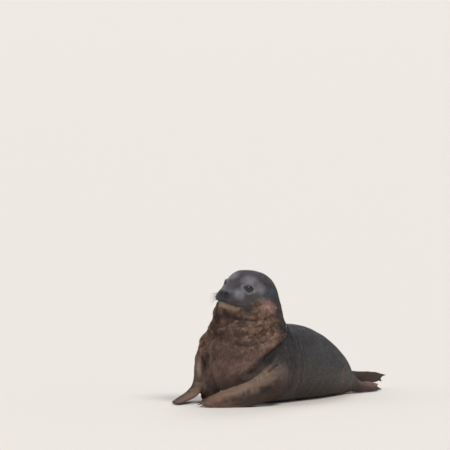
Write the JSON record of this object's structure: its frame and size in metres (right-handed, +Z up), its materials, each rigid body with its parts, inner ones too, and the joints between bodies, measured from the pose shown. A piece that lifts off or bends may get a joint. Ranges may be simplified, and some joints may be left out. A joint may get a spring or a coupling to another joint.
{
  "type": "elephant seal pup",
  "caption": "Young earless seal at life size, resting on its belly and two fore flippers with head and neck raised; a still model.",
  "frame": {"origin": "on the floor under the middle of the belly, where it rests", "axes": "-X forward to the nose, -Y to the animal's left, +Z up"},
  "size_m": [1.128, 0.4222, 0.5039],
  "materials": {
    "head_coat": "short dark grey natal fur, sleek and slightly wet",
    "throat_coat": "brown natal fur in small wet curls",
    "back_coat": "short black natal fur with a soft grey sheen",
    "flipper_coat": "thin short brown fur, dusted with sand",
    "eye": "black, wet and glossy"
  },
  "bodies": {
    "root": {"head": "head_coat", "neck": "throat_coat", "chest": "back_coat", "belly": "back_coat", "rump": "back_coat", "tail": "back_coat", "eye_left": "eye", "eye_right": "eye", "fore_flipper_left": "flipper_coat", "fore_flipper_right": "flipper_coat", "hind_flipper_left": "flipper_coat", "hind_flipper_right": "flipper_coat"}
  },
  "joints": []
}
